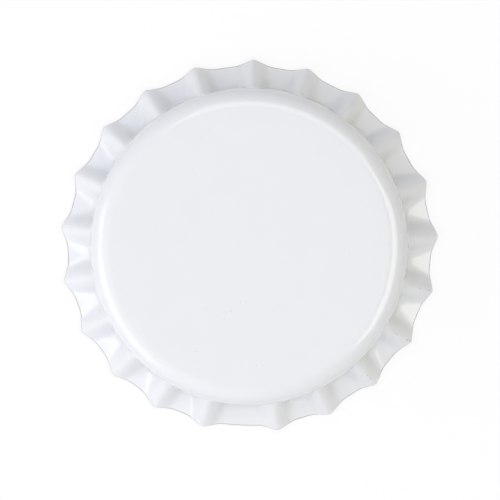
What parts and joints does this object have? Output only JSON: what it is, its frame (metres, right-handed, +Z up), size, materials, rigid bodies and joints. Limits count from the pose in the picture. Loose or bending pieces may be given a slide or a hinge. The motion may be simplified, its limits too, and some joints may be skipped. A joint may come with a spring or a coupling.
{
  "type": "crown bottle cap",
  "caption": "Pressed steel crown cap, white enamelled, with a fluted skirt flared ready to crimp and a moulded sealing liner inside.",
  "frame": {"origin": "centre of the cap on the plane that the rim of its skirt stands on", "axes": "+Z up along the axis of the drum, through the top panel; -Y towards the widest flute"},
  "size_m": [0.0323, 0.0318, 0.006],
  "materials": {
    "white_enamel": "gloss white enamel on tinplate, bare steel at the cut rim",
    "liner": "soft milky moulded sealing compound"
  },
  "bodies": {
    "root": {"crown_shell": "white_enamel", "sealing_liner": "liner"}
  },
  "joints": []
}
